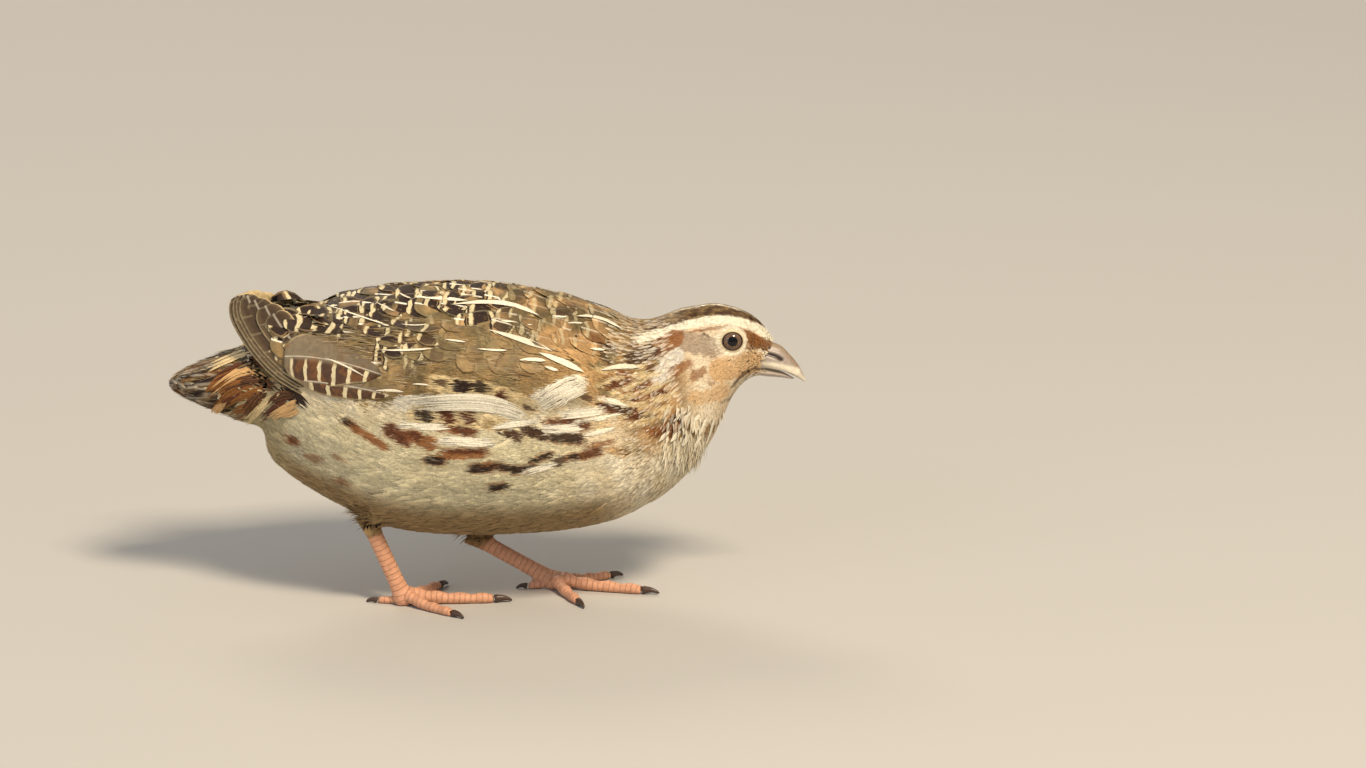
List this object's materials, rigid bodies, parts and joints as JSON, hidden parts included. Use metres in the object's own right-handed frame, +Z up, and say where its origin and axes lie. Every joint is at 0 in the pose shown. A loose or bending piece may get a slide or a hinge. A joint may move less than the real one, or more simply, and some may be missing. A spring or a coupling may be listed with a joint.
{
  "type": "coturnix quail",
  "caption": "Standing quail with plump rounded body, small head, short hooked bill, folded wings, short drooping tail and slim scaled legs in mid step.",
  "frame": {"origin": "middle of the bird's box, on the floor it stands on", "axes": "+X forward towards the bill, +Y to the bird's left, +Z up"},
  "size_m": [0.178, 0.0648, 0.0907],
  "materials": {
    "head_coat": "short soft head feathers, brown crown and pale brow",
    "neck_coat": "soft buff feathers with darker spots",
    "body_coat": "soft contour feathers, cream below, brown and barred above",
    "wing_coat": "sandy brown covert feathers with pale shafts and bars",
    "flight_feathers": "grey-brown flight feathers with pale edges",
    "tail_coat": "striped brown and cream tail feathers",
    "horn": "satin grey-pink horn of the bill",
    "leg_skin": "pinkish orange scaled skin of shanks and toes",
    "claw": "dark satin horn of the claws",
    "eye": "glossy brown eye with a black pupil"
  },
  "bodies": {
    "root": {"head": "head_coat", "neck": "neck_coat", "trunk": "body_coat", "wing_right": "wing_coat", "primaries_right": "flight_feathers", "wing_left": "wing_coat", "primaries_left": "flight_feathers", "tail": "tail_coat", "bill_upper": "horn", "bill_lower": "horn", "eye_right": "eye", "thigh_right": "body_coat", "tarsus_right": "leg_skin", "toe_middle_right": "leg_skin", "claw_middle_right": "claw", "toe_inner_right": "leg_skin", "claw_inner_right": "claw", "toe_outer_right": "leg_skin", "claw_outer_right": "claw", "toe_hind_right": "leg_skin", "claw_hind_right": "claw", "eye_left": "eye", "thigh_left": "body_coat", "tarsus_left": "leg_skin", "toe_middle_left": "leg_skin", "claw_middle_left": "claw", "toe_inner_left": "leg_skin", "claw_inner_left": "claw", "toe_outer_left": "leg_skin", "claw_outer_left": "claw", "toe_hind_left": "leg_skin", "claw_hind_left": "claw"}
  },
  "joints": []
}
